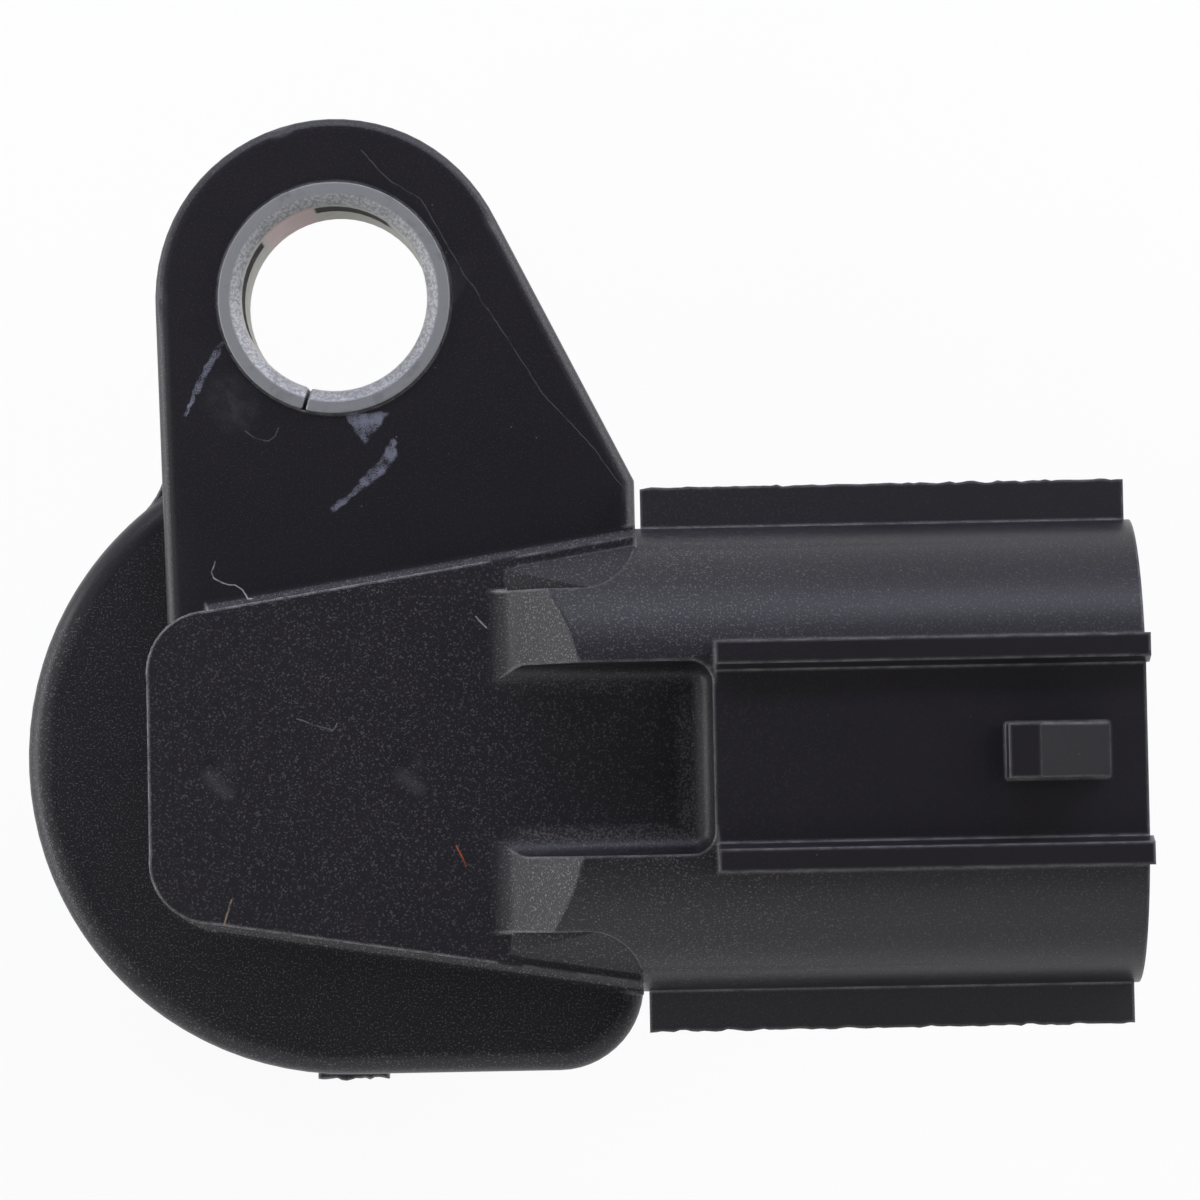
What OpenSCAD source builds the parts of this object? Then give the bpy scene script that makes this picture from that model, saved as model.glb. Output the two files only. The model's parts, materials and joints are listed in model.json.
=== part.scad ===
// Crankshaft position sensor: a three-pin Hall-effect sensor with a flange, a bolt ear and a plug socket.
// The origin is on the barrel axis in the flange's seat plane, +Z points away from the engine,
// +X points along the plug socket and +Y points to the bolt ear. Millimetres.

/* [Flange] */
// Radius of the round flange plate
flange_r = 11.6; // [11:0.1:13]
// Thickness of the flange plate
flange_t = 3; // [2.4:0.1:4]
// Rounding along the flange plate's top edge
flange_edge_r = 0.9; // [0.4:0.1:1.2]
// Distance from the barrel axis to the flat end under the socket
flange_reach = 10.7; // [10:0.1:12]
// Plan radius of the flange plate's lower right corner
flange_corner_r = 3.1; // [2.4:0.1:3.6]
// Length of the moulding gate's stub on the flange plate's edge
gate_len = 2.6; // [1.5:0.1:4]
// Distance that the gate's stub stands out from the edge
gate_proud = 0.3; // [0.1:0.05:0.5]
// Thickness of the gate's stub
gate_t = 0.8; // [0.4:0.1:1]

/* [Bolt ear] */
// Distance from the barrel axis to the bolt axis
bolt_pitch = 16.5; // [15.5:0.1:18]
// Radius of the ear round the bolt
ear_r = 6.55; // [6:0.05:7.5]
// Height of the ear's top above the seat
ear_t = 5; // [4.2:0.1:6]
// Rounding along the ear's top edge
ear_edge_r = 0.5; // [0.2:0.05:0.8]
// Distance from the barrel axis to the foot of the ear's straight side
ear_foot = 6.2; // [5.6:0.1:6.8]
// Height along +Y of the ear's corner beside the socket
ear_corner_y = 9.7; // [9:0.1:10.5]
// Distance from the bolt axis to the ear's two straight sides
ear_side = 6.5; // [5.8:0.05:7.3]
// Plan radius of the hollow blend between ear and flange plate
ear_blend_r = 3; // [2:0.1:4]

/* [Mounting bush] */
// Outer diameter of the rolled steel bush
bush_od = 8.4; // [8:0.1:9.4]
// Bore of the bush, for an M6 bolt
bush_id = 6.7; // [6.4:0.1:7]
// Height that the bush stands proud of the ear
bush_proud = 0.15; // [0.05:0.05:0.4]
// Width of the bevel round both ends of the bore
bush_bevel = 0.4; // [0.1:0.05:0.5]
// Width of the seam where the rolled strip meets
bush_seam = 0.12; // [0.05:0.01:0.3]
// Direction of the seam from the bolt axis, in degrees from +X
bush_seam_angle = 254; // [200:1:300]

/* [Block] */
// Height of the block's flat top above the seat
block_h = 9.5; // [9:0.1:10.2]
// Distance from the barrel axis back to the block's rear wall
block_back = 6.6; // [6.2:0.1:7]
// Half width of the block at its rear wall
block_rear_half = 5.2; // [4.9:0.1:5.6]
// Half width of the block at its front station
block_front_half = 7.9; // [7.6:0.1:8.2]
// Distance from the barrel axis forward to that station
block_front = 10.7; // [10:0.1:12]
// Plan radius of the two rear corners
block_corner_r = 2.2; // [1.6:0.1:2.6]
// Radius of the hollow fillet round the block's foot
block_foot_r = 0.6; // [0.3:0.1:0.8]
// Depth of the two shallow dents in the block's top
dent_depth = 0.08; // [0.04:0.01:0.15]
// Radius of the ball shape that the dents follow
dent_r = 3.4; // [2:0.1:5]
// Distance from the barrel axis back to the rear dent
dent_back = 4.2; // [3.6:0.1:4.6]
// Distance from the barrel axis forward to the front dent
dent_front = 2.5; // [2:0.1:3]

/* [Plug socket] */
// Sideways place of the socket's axis, along +Y from the barrel axis
socket_y = -0.4; // [-0.6:0.1:0.2]
// Height of the socket shell's underside above the seat
socket_lift = 0.5; // [0.2:0.1:1]
// Distance from the barrel axis to the socket's mouth
socket_reach = 28.3; // [26:0.1:31]
// Half width of the socket shell
shell_half = 8.25; // [8:0.05:8.6]
// Radius of the shell's round shoulders, half its height
shell_r = 6; // [5.7:0.1:6.4]
// Wall thickness of the shell
shell_wall = 1.2; // [1:0.1:1.4]
// Depth of the socket behind its mouth
socket_depth = 13.3; // [12:0.1:14]
// Half width over the two side fins
fin_half = 9.7; // [9.2:0.1:10.4]
// Thickness of a side fin
fin_t = 1.5; // [1:0.1:2]
// Slot between the flange's flat end and the fins
fin_slot = 0.2; // [0.1:0.05:0.6]
// Distance that the fins stop short of the mouth
fin_setback = 0.2; // [0.05:0.05:0.6]

/* [Ramps and hollow] */
// Distance from the barrel axis to the foot of the two ramps
ramp_foot = 6; // [5.6:0.1:6.4]
// Radius of the hollow fillet along the foot of the ramps
ramp_foot_r = 1.4; // [0.8:0.1:1.8]
// Slope of the ramps
ramp_angle = 47; // [40:1:55]
// Half width over the two ramps
ramp_half = 6; // [5.6:0.1:6.4]
// Half width of the hollow between the ramps
hollow_half = 3.35; // [3:0.05:3.6]
// Distance from the barrel axis to the hollow's front wall
hollow_front = 13.3; // [12.5:0.1:14]
// Radius of the hollow's inner fillets
hollow_r = 0.8; // [0.4:0.1:1]
// Slope of the banks beside the ramps
bank_angle = 38; // [30:1:45]
// Slope at which a bank runs out towards the rear
bank_run_out = 18; // [10:1:25]
// Width of the flat strip between a bank and the block's edge
bank_strip = 0.4; // [0.2:0.05:0.6]

/* [Latch] */
// Half width over the two latch rails
rail_half = 4; // [3.8:0.05:4.2]
// Width of a rail along its top
rail_w = 0.8; // [0.6:0.05:1]
// Height of a rail above the latch panel
rail_h = 0.7; // [0.4:0.05:1]
// Extra width of a rail at its foot, on the inner side
rail_draft = 0.2; // [0.1:0.05:0.3]
// Distance that the rails stand out past the mouth
rail_nose = 0.12; // [0.04:0.02:0.3]
// Width of the lock nib
nib_w = 1.9; // [1.5:0.1:2.4]
// Height of the lock nib above the panel
nib_h = 1.5; // [1:0.1:1.8]
// Length of the lock nib's flat crest
nib_crest = 1.1; // [0.8:0.1:1.6]
// Length of the lock nib's lead-in slope
nib_slope = 2.5; // [2:0.1:3]
// Distance from the socket's mouth to the foot of the lead-in slope
nib_setback = 1.3; // [0.8:0.1:1.8]

/* [Barrel] */
// Diameter of the barrel that enters the engine block
barrel_d = 17.8; // [17.4:0.1:18.4]
// Length of the barrel below the seat
barrel_len = 24; // [22:0.5:27]
// Bevel round the barrel's end
barrel_bevel = 0.8; // [0.4:0.1:1]
// Distance from the seat to the seal groove
groove_drop = 2.6; // [2:0.1:3.2]
// Height of the seal groove
groove_w = 2.9; // [2.7:0.1:3.3]
// Section diameter of the O-ring
seal_d = 2.2; // [1.9:0.05:2.4]
// Distance that the O-ring stands proud of the barrel
seal_proud = 0.45; // [0.3:0.05:0.6]

/* [Sensing insert] */
// Outer diameter of the insert's cup
cup_d = 13.4; // [13:0.1:14.4]
// Length of the cup
cup_len = 16; // [15:0.1:17]
// Wall of the cup
cup_wall = 0.8; // [0.6:0.05:1]
// Floor of the cup, in front of the Hall element
cup_floor = 0.8; // [0.6:0.05:1]
// Room between the cup and the carrier inside it
carrier_gap = 0.1; // [0.05:0.01:0.2]
// Diameter of the bias magnet
magnet_d = 7; // [6.4:0.1:7.2]
// Length of the bias magnet
magnet_len = 5; // [4:0.1:6]
// Thickness of the steel pole plate
pole_t = 0.8; // [0.5:0.1:1.2]
// Room round the pieces that sit in the carrier
pocket_gap = 0.1; // [0.05:0.01:0.15]
// Size of the Hall chip's package along X
chip_l = 4.6; // [4:0.1:5]
// Size of the Hall chip's package along Y
chip_w = 5.4; // [5:0.1:5.8]
// Thickness of the Hall chip's package
chip_t = 1.6; // [1.3:0.1:1.8]
// Thickness of a chip lead
lead_t = 0.4; // [0.3:0.05:0.45]
// Width of a chip lead
lead_w = 0.5; // [0.4:0.05:0.7]
// Height of a chip lead's upright part
lead_h = 10.5; // [9.5:0.1:11]
// Size of a chip capacitor along the terminals' row
cap_l = 1.8; // [1.6:0.05:1.85]
// Side of a chip capacitor's square section
cap_s = 1.2; // [0.9:0.05:1.3]

/* [Terminals] */
// Distance between the plug pins
pin_pitch = 4; // [3.7:0.1:4.2]
// Width of a plug pin
pin_w = 2.3; // [1.8:0.1:2.5]
// Thickness of the terminal strip
strip_t = 0.64; // [0.5:0.02:0.8]
// Distance that the pins stop short of the mouth
pin_setback = 4.6; // [4.4:0.1:6]
// Length of a pin's tapered tip
pin_tip = 0.9; // [0.5:0.1:1.4]
// Distance between the terminals' legs in the barrel
leg_pitch = 1.9; // [1.8:0.05:2]
// Width of a terminal's leg
leg_w = 1.2; // [1:0.05:1.3]
// Length of a terminal's leg inside the carrier
leg_lap = 5; // [4.4:0.1:5.4]

/* [Hidden] */
$fa = 3;
$fs = 0.2;

// Cutting tools reach this far past the faces that they open
over = 1;
// Width of the moulded rims that are swept along the plan outlines
rim_w = 2;
// Smallest distance between two faces that must not touch
skin = 0.02;
// Number of flats that round the ear's top edge
edge_flats = 4;
// Side of a square that covers any edge profile
profile_room = 2 * socket_reach;
// Strip of shell between the hollow and the latch panel
panel_strip = 0.1;
// Plastic between the magnet's pocket and the leads' slots
lead_wall = 0.3;
// Height of the capacitors above the legs' ends
cap_rise = 2.4;

// Places along the bolt ear's outline
bolt = [0, bolt_pitch];
ear_turn = [flange_reach, ear_corner_y];
ear_toe = [-ear_foot, block_rear_half - block_corner_r];
right_side = tangent_angle(ear_turn, bolt, ear_side, -1);
left_side = tangent_angle(ear_toe, bolt, ear_side, 1);

// The block's walls spread evenly from the rear wall through the front station to the flange's flat end
block_spread = atan((block_front_half - block_rear_half) / (block_back + block_front));
flat_end_half = block_half(flange_reach);
block_corner_x = block_corner_r - block_back;
block_corner_half = block_half(block_corner_x) - block_corner_r / cos(block_spread);

// Levels of the socket shell
shell_z = socket_lift + shell_r;
shell_top = shell_z + shell_r;
shell_flat = shell_half - shell_r;
ramp_rise = shell_top - block_h;
ramp_start = ramp_foot - ramp_foot_r * tan(ramp_angle / 2);
panel_back = hollow_front + panel_strip;
fin_back = flange_reach + fin_slot;
socket_floor = socket_reach - socket_depth;
nib_foot = socket_reach - nib_setback;

// Levels of the barrel and the sensing insert, downwards from the seat
barrel_r = barrel_d / 2;
groove_r = barrel_r + seal_proud - seal_d - skin;
cup_top = cup_len - barrel_len;
chip_z = cup_floor - barrel_len;
pole_z = chip_z + chip_t;
magnet_z = pole_z + pole_t;
carrier_r = cup_d / 2 - cup_wall - carrier_gap;
lead_x = magnet_d / 2 + pocket_gap + lead_wall;
lead_z = chip_z + chip_t / 2;
leg_x = lead_x + lead_t;
leg_end = cup_top - leg_lap;
cap_z = leg_end + cap_rise;

// Half width of the block's top at a distance along +X from the barrel axis
function block_half(x) = block_rear_half + (x + block_back) * tan(block_spread);

// Place on the fillet along the ramps' foot, by the angle that it has risen to
function ramp_foot_point(angle) =
    [ramp_start + ramp_foot_r * sin(angle), block_h + ramp_foot_r * (1 - cos(angle))];

// Half width of what lies within the block's walls without touching them
function side_half(x) = block_half(x) - 3 * skin;

// Direction of the line from a point that touches a circle on one side
function tangent_angle(from, centre, r, side) =
    atan2(centre.y - from.y, centre.x - from.x) + side * asin(r / norm(centre - from));

// A plan point moved along a direction
function moved(p, angle, by) = p + by * [cos(angle), sin(angle)];

// A plan point pushed sideways, to the left of a direction
function pushed(p, angle, by) = moved(p, angle + 90, by);

// Sweeps an edge profile along a straight stretch of outline, with the solid on the left
module straight_rim(from, to) {
    way = to - from;
    translate([from.x, from.y, 0])
        rotate([0, 0, atan2(way.y, way.x)])
            rotate([90, 0, 90])
                linear_extrude(norm(way)) children();
}

// Sweeps an edge profile round an outward corner of an outline
module round_rim(centre, r, start, end) {
    translate([centre.x, centre.y, 0])
        rotate([0, 0, start])
            rotate_extrude(angle = end - start) intersection() {
                translate([r, 0]) mirror([1, 0]) children();
                square(profile_room);
            }
}

// Corner of a square less its inscribed quarter circle
module round_off(r) {
    difference() {
        translate([-over, -over]) square(r + over);
        translate([r, r]) circle(r);
    }
}

// Edge profile of a plate: inward from the outline along x, upward along y
module plate_edge(t, r, w = rim_w) {
    difference() {
        square([w, t]);
        translate([0, t]) mirror([0, 1]) round_off(r);
    }
}

// Edge profile of the ear, its top corner rounded in flats
module ear_edge(w = rim_w) {
    polygon([
        [0, 0], [w, 0], [w, ear_t],
        for (step = [0:edge_flats])
            [ear_edge_r, ear_t - ear_edge_r] + ear_edge_r * [-sin(90 * step / edge_flats), cos(90 * step / edge_flats)],
    ]);
}

// Edge profile of the block: a straight wall with a hollow fillet on the level below it
module block_edge(level) {
    square([block_corner_r, block_h + over]);
    difference() {
        translate([-block_foot_r, 0]) square([block_foot_r, level + block_foot_r]);
        translate([-block_foot_r, level + block_foot_r]) circle(block_foot_r);
    }
}

// Draws a section in the YZ plane and pulls it along +X
module along_x(from, to) {
    translate([from, 0, 0]) rotate([90, 0, 90]) linear_extrude(to - from) children();
}

// Draws a section in the XZ plane and pulls it along Y, centred
module across_y(w) {
    translate([0, w / 2, 0]) rotate([90, 0, 0]) linear_extrude(w) children();
}

// A flat-sided oval in the YZ plane
module oval(half, r) {
    translate([socket_y, shell_z]) {
        for (side = [-1, 1]) translate([side * (half - r), 0]) circle(r);
        square([2 * (half - r), 2 * r], center = true);
    }
}

// Round flange plate with a square-ended foot under the socket
module flange_plate() {
    corner = [flange_reach - flange_corner_r, flange_corner_r - flange_r];
    round_rim([0, 0], flange_r, 90, 270) plate_edge(flange_t, flange_edge_r);
    straight_rim([0, -flange_r], [corner.x, -flange_r]) plate_edge(flange_t, flange_edge_r);
    round_rim(corner, flange_corner_r, 270, 360) plate_edge(flange_t, flange_edge_r);
    straight_rim([flange_reach, corner.y], [flange_reach, -rim_w]) plate_edge(flange_t, flange_edge_r);
    cylinder(r = flange_r - rim_w / 2, h = flange_t);
    translate([0, rim_w / 2 - flange_r, 0]) cube([corner.x, flange_r, flange_t]);
    translate([corner.x, corner.y, 0]) {
        cylinder(r = flange_corner_r - rim_w / 2, h = flange_t);
        cube([flange_corner_r - rim_w / 2, -corner.y, flange_t]);
    }
    translate([-gate_len / 2, -flange_r - gate_proud, 0]) cube([gate_len, rim_w, gate_t]);
}

// Hollow blend where the ear's straight side leaves the round flange plate
module ear_blend() {
    side = [cos(left_side), sin(left_side)];
    base = pushed(ear_toe, left_side, ear_blend_r - skin);
    reach = flange_r + ear_blend_r - skin;
    centre = base + (sqrt((base * side) ^ 2 - base * base + reach ^ 2) - base * side) * side;
    touch = centre * (flange_r - over) / reach;
    linear_extrude(flange_t - flange_edge_r) difference() {
        polygon([centre, touch, [over - ear_foot, touch.y], pushed(centre, left_side, -ear_blend_r - over)]);
        translate(centre) circle(ear_blend_r);
    }
}

// Plate that carries the bolt: a round end, two straight sides and a short flat beside the socket
module ear_plate() {
    inset = rim_w / 2;
    right_foot = pushed(bolt, right_side, -ear_side);
    left_foot = pushed(bolt, left_side, ear_side);
    round_rim(bolt, ear_r, 0, 360) ear_edge(ear_r);
    straight_rim(left_foot, ear_toe) ear_edge();
    straight_rim([flange_reach, 0], ear_turn - [0, rim_w]) ear_edge();
    intersection() {
        straight_rim([flange_reach, 0], [flange_reach, bolt_pitch + ear_r]) ear_edge(flange_reach);
        straight_rim(moved(ear_turn, right_side, -rim_w), right_foot) ear_edge(2 * rim_w);
    }
    linear_extrude(ear_t) polygon([
        [inset - ear_foot, 0],
        [flange_reach - inset, 0],
        ear_turn - [inset, rim_w],
        pushed(moved(bolt, right_side, over), right_side, rim_w - ear_side),
        pushed(moved(bolt, left_side, -over), left_side, ear_side - rim_w + inset / 2),
    ]);
}

// Raised block over the barrel, with filleted feet and two round rear corners
module block() {
    wall = 90 + block_spread;
    rear = skin - block_back;
    inset = block_corner_r / 2;
    difference() {
        union() {
            for (side = [-1, 1]) {
                corner = [block_corner_x, socket_y + side * block_corner_half];
                near = corner + (block_corner_r - skin) * [cos(wall), side * sin(wall)];
                far = near + (flange_reach + over - near.x) * [1, side * tan(block_spread)];
                round_rim(corner, block_corner_r, 0, 360) block_edge(flange_t);
                if (side > 0) straight_rim(far, near) block_edge(ear_t);
                else straight_rim(near, far) block_edge(flange_t);
            }
            straight_rim([rear, socket_y + block_corner_half], [rear, socket_y - block_corner_half])
                block_edge(flange_t);
            linear_extrude(block_h + over) polygon([
                [inset - block_back, socket_y - block_corner_half + inset],
                [block_corner_x, socket_y - block_half(block_corner_x) + inset],
                [flange_reach, socket_y - flat_end_half + inset],
                [flange_reach, socket_y + flat_end_half - inset],
                [block_corner_x, socket_y + block_half(block_corner_x) - inset],
                [inset - block_back, socket_y + block_corner_half - inset],
            ]);
        }
        translate([flange_reach, -flange_r, -over]) cube([flange_r, 2 * flange_r, block_h + 3 * over]);
        translate([-flange_r, -flange_r, block_h]) cube([3 * flange_r, 2 * flange_r, 2 * over]);
    }
}

// Socket shell with its rear end ramped and cut back to the block's walls, still without the hollow
module shell() {
    difference() {
        along_x(ramp_start, socket_reach) oval(shell_half, shell_r);
        translate([0, socket_y, 0]) across_y(2 * fin_half) polygon(concat(
            [[ramp_start - over, shell_top + over], [ramp_start - over, block_h]],
            [for (flat = [0:edge_flats]) ramp_foot_point(flat * ramp_angle / edge_flats)],
            [[ramp_foot + (ramp_rise + over) / tan(ramp_angle), shell_top + over]]
        ));
        for (side = [-1, 1]) {
            linear_extrude(shell_top + over) polygon([
                [ramp_start - over, socket_y + side * side_half(ramp_start - over)],
                [flange_reach, socket_y + side * side_half(flange_reach)],
                [flange_reach, socket_y + side * fin_half],
                [ramp_start - over, socket_y + side * fin_half],
            ]);
            bank_clearance(side);
        }
    }
    for (side = [-1, 1]) {
        bank(side);
        translate([0, socket_y, shell_z]) mirror([0, side < 0 ? 1 : 0, 0]) fin();
    }
}

// One side fin on the shell's parting plane, rooted in the shell's wall
module fin() {
    root = shell_half - shell_wall / 2;
    translate([fin_back, root, -fin_t / 2])
        cube([socket_reach - fin_setback - fin_back, fin_half - root, fin_t]);
}

// Space beside a ramp, with a round front corner, that the bank lies in
module bank_clearance(side) {
    depth = fin_half - ramp_half;
    round_r = flat_end_half - ramp_half;
    translate([0, socket_y, block_h]) mirror([0, side < 0 ? 1 : 0, 0]) translate([0, ramp_half, 0]) {
        translate([ramp_start - over, 0, 0])
            cube([flange_reach - round_r - ramp_start + over, depth, shell_r]);
        translate([flange_reach - round_r, round_r, 0]) cylinder(r = round_r, h = shell_r);
        translate([flange_reach - 2 * round_r, round_r, 0]) cube([2 * round_r, depth - round_r, shell_r]);
    }
}

// Sloping bank between the block's edge and the side of a ramp, running out towards the rear
module bank(side) {
    rise = (ramp_half + over) * tan(bank_angle);
    intersection() {
        translate([0, socket_y, 0]) mirror([0, side < 0 ? 1 : 0, 0])
            straight_rim([flange_reach, flat_end_half], [ramp_foot, block_half(ramp_foot)])
                polygon([[bank_strip, block_h - over], [bank_strip, block_h],
                    [ramp_half + over, block_h + rise], [ramp_half + over, block_h - over]]);
        translate([0, socket_y + side * (flat_end_half + ramp_half) / 2, 0])
            across_y(flat_end_half - ramp_half) polygon([
                [ramp_foot, block_h - over], [ramp_foot, block_h],
                [flange_reach, block_h + (flange_reach - ramp_foot) * tan(bank_run_out)],
                [flange_reach, block_h - over],
            ]);
    }
}

// Tool for the hollow between the ramps: open to the rear, filleted along its floor
module hollow() {
    front = [hollow_front - hollow_r, hollow_half - hollow_r];
    height = shell_top - block_h + rail_h + over;
    translate([0, socket_y, block_h]) {
        straight_rim([0, -hollow_half], [front.x, -hollow_half]) hollow_edge(height);
        round_rim([front.x, -front.y], hollow_r, 270, 360) hollow_edge(height);
        straight_rim([hollow_front, -front.y], [hollow_front, front.y]) hollow_edge(height);
        round_rim(front, hollow_r, 0, 90) hollow_edge(height);
        straight_rim([front.x, hollow_half], [0, hollow_half]) hollow_edge(height);
        translate([0, -front.y, 0]) cube([front.x, 2 * front.y, height]);
    }
}

// Edge profile of the hollow, rounded at its floor
module hollow_edge(height) {
    difference() {
        square([hollow_r, height]);
        round_off(hollow_r - skin);
    }
}

// Flat latch panel with two rails and the lock nib
module latch() {
    inner = rail_half - rail_w;
    along_x(panel_back, socket_reach) translate([socket_y, 0])
        polygon([[-rail_half, shell_z + shell_r / 2], [rail_half, shell_z + shell_r / 2],
            [rail_half, shell_top], [-rail_half, shell_top]]);
    for (side = [-1, 1])
        along_x(panel_back, socket_reach + rail_nose) translate([socket_y, shell_top])
            polygon([[side * rail_half, -rail_h], [side * rail_half, rail_h], [side * inner, rail_h],
                [side * (inner - rail_draft), 0], [side * (inner - rail_draft), -rail_h]]);
    translate([0, socket_y, shell_top]) across_y(nib_w) polygon([
        [nib_foot, 0], [nib_foot - nib_slope, nib_h], [nib_foot - nib_slope - nib_crest, nib_h],
        [nib_foot - nib_slope - nib_crest, -shell_wall / 2], [nib_foot, -shell_wall / 2],
    ]);
}

// Barrel with its seal groove and bevelled end
module barrel() {
    rotate_extrude() polygon([
        [0, flange_t], [barrel_r, flange_t], [barrel_r, -groove_drop], [groove_r, -groove_drop],
        [groove_r, -groove_drop - groove_w], [barrel_r, -groove_drop - groove_w],
        [barrel_r, barrel_bevel - barrel_len], [barrel_r - barrel_bevel, -barrel_len], [0, -barrel_len],
    ]);
}

// Terminal number 0, 1 or 2: a plug pin, a run through the plastic and a leg down into the carrier
module terminal(index) {
    leg_y = (index - 1) * leg_pitch;
    pin_y = socket_y + (index - 1) * pin_pitch;
    pin_end = socket_reach - pin_setback;
    bend = (2 * leg_x + socket_floor) / 3;
    translate([0, 0, shell_z - strip_t / 2]) linear_extrude(strip_t) polygon([
        [leg_x, leg_y - leg_w / 2], [bend, leg_y - leg_w / 2],
        [2 * bend - leg_x, pin_y - pin_w / 2], [pin_end - pin_tip, pin_y - pin_w / 2],
        [pin_end, pin_y - pin_w / 4], [pin_end, pin_y + pin_w / 4],
        [pin_end - pin_tip, pin_y + pin_w / 2], [2 * bend - leg_x, pin_y + pin_w / 2],
        [bend, leg_y + leg_w / 2], [leg_x, leg_y + leg_w / 2],
    ]);
    translate([leg_x, leg_y - leg_w / 2, leg_end])
        cube([strip_t, leg_w, shell_z - leg_end]);
}

// Chip lead number 0, 1 or 2: out of the package and up along the terminal's leg
module lead(index) {
    translate([0, (index - 1) * leg_pitch, 0]) across_y(lead_w) polygon([
        [chip_l / 2, lead_z - lead_t / 2], [lead_x + lead_t, lead_z - lead_t / 2],
        [lead_x + lead_t, lead_z + lead_h], [lead_x, lead_z + lead_h],
        [lead_x, lead_z + lead_t / 2], [chip_l / 2, lead_z + lead_t / 2],
    ]);
}

// Chip capacitor that bridges the middle leg and the leg on one side
module capacitor(side) {
    translate([leg_x - cap_s, side * leg_pitch / 2 - cap_l / 2, cap_z]) cube([cap_s, cap_l, cap_s]);
}

// Sub-parts

module housing() {
    color("#23242a") difference() {
        union() {
            flange_plate();
            ear_blend();
            ear_plate();
            difference() {
                union() {
                    block();
                    shell();
                }
                hollow();
            }
            latch();
            barrel();
        }
        translate([bolt.x, bolt.y, -over]) cylinder(d = bush_od, h = ear_t + 2 * over);
        along_x(socket_floor, socket_reach + over) oval(shell_half - shell_wall, shell_r - shell_wall);
        translate([0, 0, -barrel_len - over]) cylinder(d = cup_d, h = cup_len + over);
        for (index = [0:2]) terminal(index);
        for (place = [-dent_back, dent_front])
            translate([place, socket_y, block_h + dent_r - dent_depth]) sphere(dent_r);
    }
}

module mounting_bush() {
    inner = bush_id / 2;
    outer = bush_od / 2;
    height = ear_t + bush_proud;
    color("#9b9ea3") translate([bolt.x, bolt.y, 0]) difference() {
        rotate_extrude() polygon([
            [inner + bush_bevel, 0], [outer, 0], [outer, height], [inner + bush_bevel, height],
            [inner, height - bush_bevel], [inner, bush_bevel],
        ]);
        rotate([0, 0, bush_seam_angle])
            translate([0, -bush_seam / 2, -over]) cube([bush_od, bush_seam, height + 2 * over]);
    }
}

module o_ring() {
    color("#1b1b1c") translate([0, 0, -groove_drop - groove_w / 2])
        rotate_extrude() translate([groove_r + skin + seal_d / 2, 0]) circle(d = seal_d);
}

module sensor_cup() {
    color("#2c2c2e") translate([0, 0, -barrel_len]) difference() {
        cylinder(d = cup_d, h = cup_len);
        translate([0, 0, cup_floor]) cylinder(d = cup_d - 2 * cup_wall, h = cup_len);
    }
}

module carrier() {
    slot_x = lead_x - pocket_gap;
    color("#d9cfae") difference() {
        translate([0, 0, chip_z]) cylinder(r = carrier_r, h = cup_top - chip_z);
        translate([-chip_l / 2 - pocket_gap, -chip_w / 2 - pocket_gap, chip_z - over])
            cube([chip_l + 2 * pocket_gap, chip_w + 2 * pocket_gap, chip_t + over]);
        translate([0, 0, chip_z]) cylinder(d = magnet_d + 2 * pocket_gap, h = chip_t + pole_t + magnet_len);
        for (index = [0:2]) translate([0, (index - 1) * leg_pitch, 0]) {
            translate([0, -lead_w / 2 - pocket_gap, chip_z - over])
                cube([leg_x, lead_w + 2 * pocket_gap, chip_t / 2 + lead_h + pocket_gap + over]);
            translate([slot_x, -leg_w / 2 - pocket_gap, leg_end - pocket_gap])
                cube([strip_t + leg_x - slot_x + pocket_gap, leg_w + 2 * pocket_gap, leg_lap + over]);
        }
        translate([leg_x - cap_s - pocket_gap, -leg_pitch / 2 - cap_l / 2 - pocket_gap, cap_z])
            cube([cap_s + pocket_gap, leg_pitch + cap_l + 2 * pocket_gap, cup_top - cap_z + over]);
    }
}

module magnet() {
    color("#6f7278") translate([0, 0, magnet_z]) cylinder(d = magnet_d, h = magnet_len);
}

module pole_plate() {
    color("#b9bcc0") translate([0, 0, pole_z]) cylinder(d = magnet_d, h = pole_t);
}

module hall_chip() {
    color("#1f1f22") translate([-chip_l / 2, -chip_w / 2, chip_z]) cube([chip_l, chip_w, chip_t]);
}

module supply_lead() {
    color("#c9cbce") lead(0);
}

module signal_lead() {
    color("#c9cbce") lead(1);
}

module ground_lead() {
    color("#c9cbce") lead(2);
}

module supply_terminal() {
    color("#d6d3c8") terminal(0);
}

module signal_terminal() {
    color("#d6d3c8") terminal(1);
}

module ground_terminal() {
    color("#d6d3c8") terminal(2);
}

module supply_capacitor() {
    color("#a98258") capacitor(-1);
}

module signal_capacitor() {
    color("#a98258") capacitor(1);
}

housing();
mounting_bush();
o_ring();
sensor_cup();
carrier();
magnet();
pole_plate();
hall_chip();
supply_lead();
signal_lead();
ground_lead();
supply_terminal();
signal_terminal();
ground_terminal();
supply_capacitor();
signal_capacitor();
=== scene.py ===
"""Looks of a crankshaft position sensor: moulded housing, rolled bush, seal, sensing cup, pins and the lint on it."""

import json
import math
from collections import namedtuple

import bpy
from mathutils import Matrix, Vector, noise

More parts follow.
